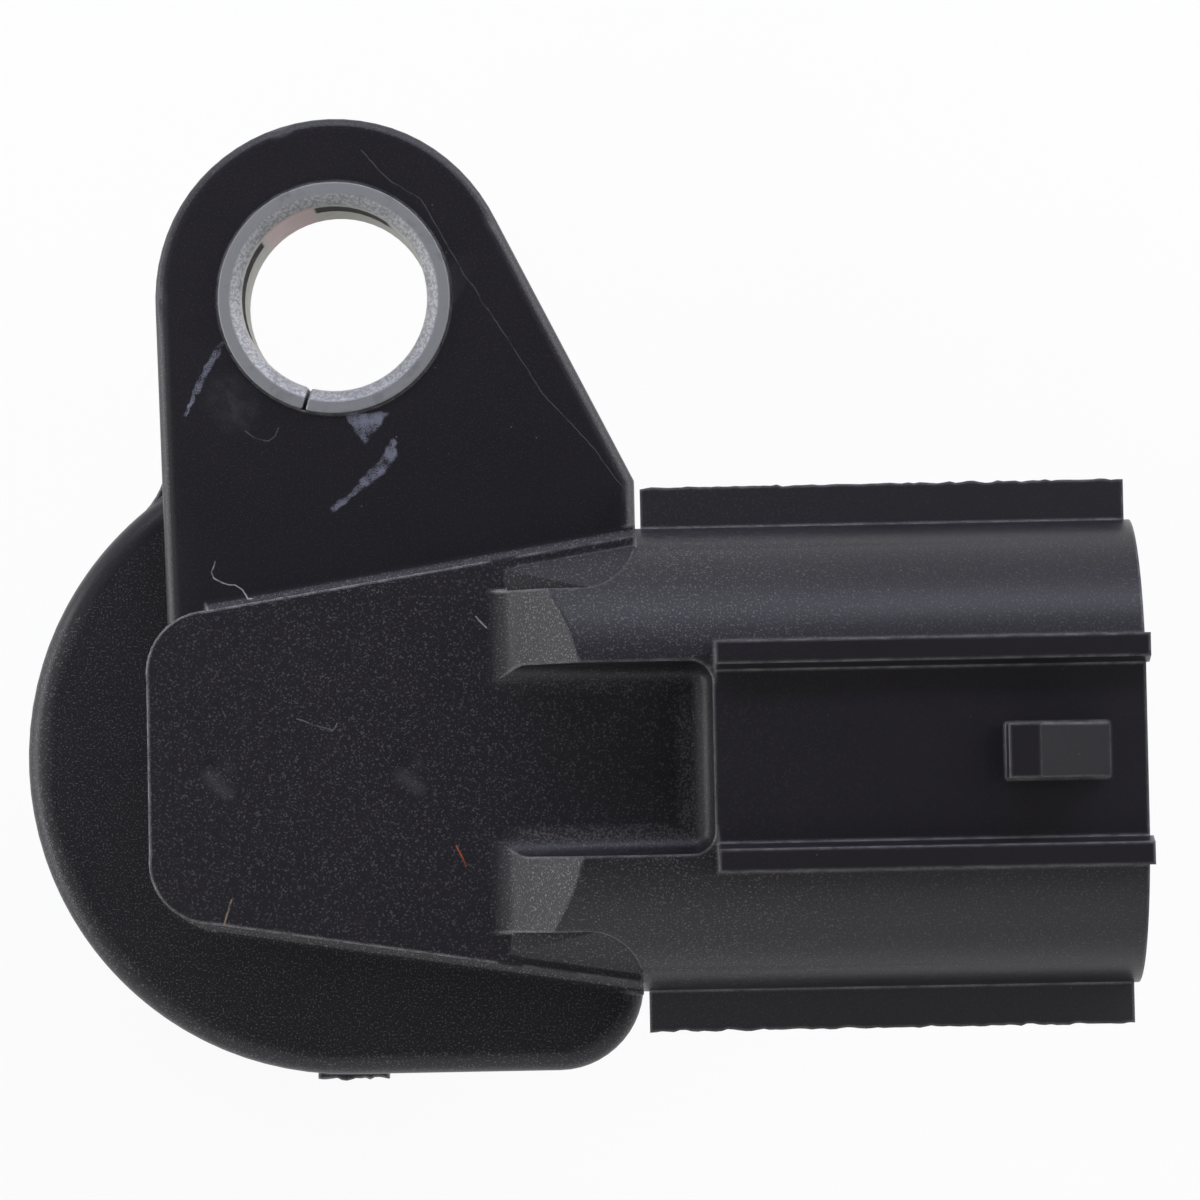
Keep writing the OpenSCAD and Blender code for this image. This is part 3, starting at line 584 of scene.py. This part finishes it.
def surface_of(p, n):
    """Surface of a housing face, from its middle in mm and its normal."""
    across = abs(p.y - SOCKET_Y)
    on_flange = p.x < FLANGE_REACH
    rounded = 0.12 < n.z < 0.97
    at_foot = EAR_TOP < p.z < EAR_TOP + 0.7 or FLANGE_TOP < p.z < FLANGE_TOP + 0.7
    if on_flange and p.x > RAMP_FOOT - 0.8 and p.z > BLOCK_TOP - 0.05 and 3 < across < RAMP_HALF and n.x < -0.12:
        return RAMP_FACE
    if BANK_START < p.x < FLANGE_REACH + 0.1 and p.z > BLOCK_TOP - 0.02 and across > RAMP_HALF - 0.02 and n.z < 0.99:
        return BANK_FRONT if n.x < -0.1 else BANK_FACE
    if on_flange and across > 4 and rounded and at_foot:
        return UPPER_FOOT if p.y > 0 else LOWER_FOOT
    if on_flange and p.y > 5 and p.z < EAR_TOP + 0.1:
        return EAR_RIM if rounded and p.z > EAR_TOP - 0.6 else EAR_FACE
    if RAMP_FOOT < p.x < PANEL_BACK and across < HOLLOW_HALF + 0.1 and rounded:
        return HOLLOW_FOOT
    if p.x > PANEL_BACK and across < PANEL_HALF and p.z > PANEL_LOW and not 0.2 < abs(n.y) < 0.9:
        return PANEL_FACE
    if p.x > FLANGE_REACH and across > FIN_FOOT:
        return UPPER_FIN if p.y > 0 else LOWER_FIN
    if p.x > FLANGE_REACH:
        return SHELL_FACE
    if p.z < 0:
        return BARREL_FACE
    return FLANGE_FACE if p.z < FLANGE_TOP + 0.1 else BLOCK_FACE


def level_ear_top(piece):
    """Lays the ear's level top anew inside its own rims, free of slivers."""
    pick_nothing(piece, "FACE")
    corners = piece.data.vertices
    for face in piece.data.polygons:
        face.select = all(abs(corners[i].co.z / MM - EAR_TOP) < 0.002 for i in face.vertices)
    bpy.ops.object.mode_set(mode="EDIT")
    bpy.ops.mesh.delete(type="FACE")
    bpy.ops.mesh.select_mode(type="EDGE")
    bpy.ops.mesh.select_non_manifold(
        extend=False, use_wire=False, use_multi_face=False, use_non_contiguous=False, use_verts=False)
    bpy.ops.mesh.fill(use_beauty=True)
    bpy.ops.mesh.select_all(action="SELECT")
    bpy.ops.mesh.normals_make_consistent(inside=False)
    bpy.ops.object.mode_set(mode="OBJECT")


def even_ear(piece):
    """Draws the ear's round in by a hair on both sides, so that it runs into the straight sides without a kink."""
    for v in piece.data.vertices:
        off = v.co / MM - Vector((0, BOLT_Y, 0))
        reach = math.hypot(off.x, off.y)
        if reach < EAR_R - 0.9 or reach > EAR_R + 0.02 or not -0.01 < off.z < EAR_TOP + 0.01:
            continue
        turn = math.degrees(math.atan2(off.y, off.x)) % 360
        past = turn - EAR_LEFT_TURN if turn > 90 else EAR_RIGHT_TURN - turn
        if -EAR_EASE < past <= 0:
            share = (past + EAR_EASE) / EAR_EASE
            radius = EAR_R - (EAR_R - EAR_SIDE) * share * share * (3 - 2 * share)
        elif 0 < past < 7.3:
            radius = EAR_SIDE / math.cos(math.radians(past))
        else:
            continue
        scale = 1 - (EAR_R - radius) / reach
        v.co.x = off.x * scale * MM
        v.co.y = (off.y * scale + BOLT_Y) * MM


def on_fin_rim(p):
    return p.x > FLANGE_REACH and abs(abs(p.y - SOCKET_Y) - FIN_HALF) < 0.004


def on_gate_rim(p):
    return abs(p.y - GATE_END) < 0.004


def cut_rims(piece):
    """Cuts the long rims of the two fins and of the gate's end into short runs."""
    for on_rim, least, cuts in ((on_fin_rim, 5.0, FIN_CUTS), (on_gate_rim, 2.0, GATE_CUTS)):
        pick_nothing(piece, "EDGE")
        corners = piece.data.vertices
        for edge in piece.data.edges:
            a, b = (corners[i].co / MM for i in edge.vertices)
            edge.select = on_rim(a) and on_rim(b) and abs(a.x - b.x) > least
        bpy.ops.object.mode_set(mode="EDIT")
        bpy.ops.mesh.subdivide(number_cuts=cuts)
        bpy.ops.object.mode_set(mode="OBJECT")


def fray_rims(piece):
    """Draws the fins' and the gate's rims in by uneven hairs, as the mould left them."""
    rim = 1.2 * HOUSING_EDGE
    for v in piece.data.vertices:
        p = v.co / MM
        side = math.copysign(1, p.y - SOCKET_Y)
        on_fin = p.x > FLANGE_REACH and abs(p.y - SOCKET_Y) > FIN_HALF - rim
        on_gate = p.y < GATE_END + rim
        if on_fin or on_gate:
            rough = noise.noise(Vector((p.x * 1.7, side * 5, 0))) + 0.6 * noise.noise(Vector((p.x * 5.3, side * 9, 3)))
            v.co.y -= side * FRAY * min(1, max(0, 0.4 + rough)) * (2 if on_gate else 1) * MM


def housing_moulding():
    piece = copy_of("housing", "housing_moulding")
    level_ear_top(piece)
    even_ear(piece)
    cut_rims(piece)
    soften_edges(piece, HOUSING_EDGE)
    fray_rims(piece)
    smooth(piece)
    piece.data.materials.append(moulded_black("moulded_black", False))
    piece.data.materials.append(moulded_black("moulded_black_marked", True))
    for face in piece.data.polygons:
        p = face.center / MM
        level = face.normal.z > 0.9 and p.x < FLANGE_REACH
        marked = level and (abs(p.z - EAR_TOP) < 0.2 or abs(p.z - BLOCK_TOP) < 0.2)
        face.material_index = 1 if marked else 0
    surfaces = [surface_of(face.center / MM, face.normal) for face in piece.data.polygons]
    for name in Surface._fields:
        layer = piece.data.attributes.new(name, "FLOAT", "FACE")
        layer.data.foreach_set("value", [getattr(surface, name) for surface in surfaces])
    seat(piece, "housing")


def mounting_bush():
    piece = copy_of("mounting_bush", "rolled_bush")
    soften_edges(piece, BUSH_EDGE)
    smooth(piece)
    piece.data.materials.append(rolled_steel())
    seat(piece, "mounting_bush")


def seal_ring():
    piece = copy_of("o_ring", "seal_ring")
    smooth(piece, 60)
    piece.data.materials.append(plain_finish("seal_black", (0.010, 0.010, 0.010), (0.020, 0.020, 0.020), 5.0, 0.5))
    seat(piece, "o_ring")


def sensing_cup():
    piece = copy_of("sensor_cup", "sensing_cup")
    soften_edges(piece, CUP_EDGE)
    smooth(piece)
    piece.data.materials.append(plain_finish("cup_black", (0.012, 0.012, 0.013), (0.022, 0.022, 0.023), 7.0, 0.45))
    seat(piece, "sensor_cup")


def pins():
    tin = plain_finish("tinned_alloy", (0.50, 0.50, 0.50), (0.68, 0.67, 0.65), 9.0, 0.3, 1.0, 0.004)
    for wire in ("supply", "signal", "ground"):
        piece = copy_of(f"{wire}_terminal", f"{wire}_pin")
        soften_edges(piece, PIN_EDGE)
        smooth(piece)
        piece.data.materials.append(tin)
        seat(piece, f"{wire}_terminal")


def inner_parts():
    """Sealed inner pieces keep their CAD shape and get their own finishes."""
    lead = plain_finish("lead_tin", (0.5, 0.5, 0.5), (0.6, 0.6, 0.6), 9.0, 0.3, 1.0)
    capacitor = plain_finish("capacitor_tan", (0.36, 0.26, 0.16), (0.46, 0.34, 0.22), 8.0, 0.5)
    finishes = {
        "carrier": plain_finish("carrier_natural", (0.50, 0.45, 0.34), (0.64, 0.58, 0.45), 6.0, 0.5),
        "magnet": plain_finish("sintered_magnet", (0.16, 0.16, 0.16), (0.24, 0.24, 0.24), 9.0, 0.45, 0.7),
        "pole_plate": plain_finish("pole_steel", (0.35, 0.35, 0.35), (0.46, 0.46, 0.46), 6.0, 0.35, 1.0),
        "hall_chip": plain_finish("chip_epoxy", (0.015, 0.015, 0.015), (0.03, 0.03, 0.03), 10.0, 0.5),
        "supply_lead": lead,
        "signal_lead": lead,
        "ground_lead": lead,
        "supply_capacitor": capacitor,
        "signal_capacitor": capacitor,
    }
    for node, finish in finishes.items():
        data = frame["nodes"][node].data
        data.materials.clear()
        data.materials.append(finish)


def studio_floor():
    """Pale paper under the barrel's tip, clear from beneath so that the underside can be seen."""
    bpy.ops.object.select_all(action="DESELECT")
    bpy.ops.mesh.primitive_plane_add(size=4.0, location=(0, 0, BARREL_TIP * MM))
    floor = bpy.context.object
    floor.name = "studio_floor"
    bpy.ops.object.transform_apply(location=True, rotation=False, scale=True)
    floor.data.materials.append(studio_paper())


def studio_paper():
    """Matt paper that keeps the shadow, mostly plain white to the camera, to metal and to glass."""
    paper = bpy.data.materials.new("studio_paper")
    paper.use_nodes = True
    tree = paper.node_tree
    tree.nodes.clear()
    out = tree.nodes.new("ShaderNodeOutputMaterial")
    matt = tree.nodes.new("ShaderNodeBsdfDiffuse")
    matt.inputs["Color"].default_value = (FLOOR_PALE, FLOOR_PALE, FLOOR_PALE, 1)
    white = tree.nodes.new("ShaderNodeEmission")
    white.inputs["Color"].default_value = (1, 1, 1, 1)
    white.inputs["Strength"].default_value = 1.0
    ray = tree.nodes.new("ShaderNodeLightPath")
    seen = ray.outputs["Is Camera Ray"]
    for kind in ("Is Glossy Ray", "Is Transmission Ray"):
        either = tree.nodes.new("ShaderNodeMath")
        either.operation = "MAXIMUM"
        tree.links.new(seen, either.inputs[0])
        tree.links.new(ray.outputs[kind], either.inputs[1])
        seen = either.outputs[0]
    share = tree.nodes.new("ShaderNodeMath")
    share.operation = "MULTIPLY"
    tree.links.new(seen, share.inputs[0])
    share.inputs[1].default_value = FLOOR_WHITE
    sheet = tree.nodes.new("ShaderNodeMixShader")
    tree.links.new(share.outputs[0], sheet.inputs[0])
    tree.links.new(matt.outputs[0], sheet.inputs[1])
    tree.links.new(white.outputs[0], sheet.inputs[2])
    side = tree.nodes.new("ShaderNodeNewGeometry")
    clear = tree.nodes.new("ShaderNodeBsdfTransparent")
    one_way = tree.nodes.new("ShaderNodeMixShader")
    tree.links.new(side.outputs["Backfacing"], one_way.inputs[0])
    tree.links.new(sheet.outputs[0], one_way.inputs[1])
    tree.links.new(clear.outputs[0], one_way.inputs[2])
    tree.links.new(one_way.outputs[0], out.inputs[0])
    return paper


def soft_box(name, place, size, watts, tint):
    lamp = bpy.data.lights.new(name, "AREA")
    lamp.shape = "RECTANGLE"
    lamp.size, lamp.size_y = size
    lamp.energy = watts
    lamp.color = tint
    box = bpy.data.objects.new(name, lamp)
    bpy.context.collection.objects.link(box)
    box.location = place
    box.rotation_euler = (Vector(LAMP_AIM) - Vector(place)).to_track_quat("-Z", "Y").to_euler()
    box.visible_camera = False


def studio_light():
    for name, lamp in LAMPS.items():
        soft_box(name, *lamp)
    world = bpy.data.worlds.new("studio_dome")
    bpy.context.scene.world = world
    world.use_nodes = True
    tree = world.node_tree
    back = tree.nodes["Background"]
    place = tree.nodes.new("ShaderNodeTexCoord")
    split = tree.nodes.new("ShaderNodeSeparateXYZ")
    tree.links.new(place.outputs["Generated"], split.inputs[0])
    fall = tree.nodes.new("ShaderNodeMapRange")
    fall.interpolation_type = "SMOOTHSTEP"
    tree.links.new(split.outputs["Z"], fall.inputs["Value"])
    fall.inputs["From Min"].default_value, fall.inputs["To Min"].default_value = DOME_HORIZON
    fall.inputs["From Max"].default_value, fall.inputs["To Max"].default_value = DOME_ZENITH
    tree.links.new(fall.outputs["Result"], back.inputs["Strength"])
    back.inputs["Color"].default_value = DOME_COLOUR


def photo_camera():
    """Near top view, fitted to the outline in the photograph's frame."""
    tilt_x, tilt_y, roll = (math.radians(turn) for turn in CAMERA_TURNS)
    back = Vector((-math.sin(tilt_x), -math.sin(tilt_y), 1)).normalized()
    up = Vector((0, 1, 0))
    up = (up - back * up.dot(back)).normalized()
    right = up.cross(back)
    turned_right = math.cos(roll) * right - math.sin(roll) * up
    turned_up = math.sin(roll) * right + math.cos(roll) * up
    lens = bpy.data.cameras.new("photo_camera")
    lens.sensor_fit = "HORIZONTAL"
    lens.sensor_width = SENSOR_WIDTH
    lens.lens = PHOTO_SCALE * CAMERA_DISTANCE * SENSOR_WIDTH / PHOTO_WIDTH
    lens.clip_start = 0.01
    camera = bpy.data.objects.new("photo_camera", lens)
    bpy.context.collection.objects.link(camera)
    turn = Matrix((turned_right, turned_up, back)).transposed().to_4x4()
    camera.matrix_world = Matrix.Translation((Vector(CAMERA_AIM) + CAMERA_DISTANCE * back) * MM) @ turn
    bpy.context.scene.camera = camera


photo_camera()
housing_moulding()
mounting_bush()
seal_ring()
sensing_cup()
pins()
inner_parts()
studio_floor()
studio_light()
bpy.context.scene.view_settings.view_transform = "Standard"
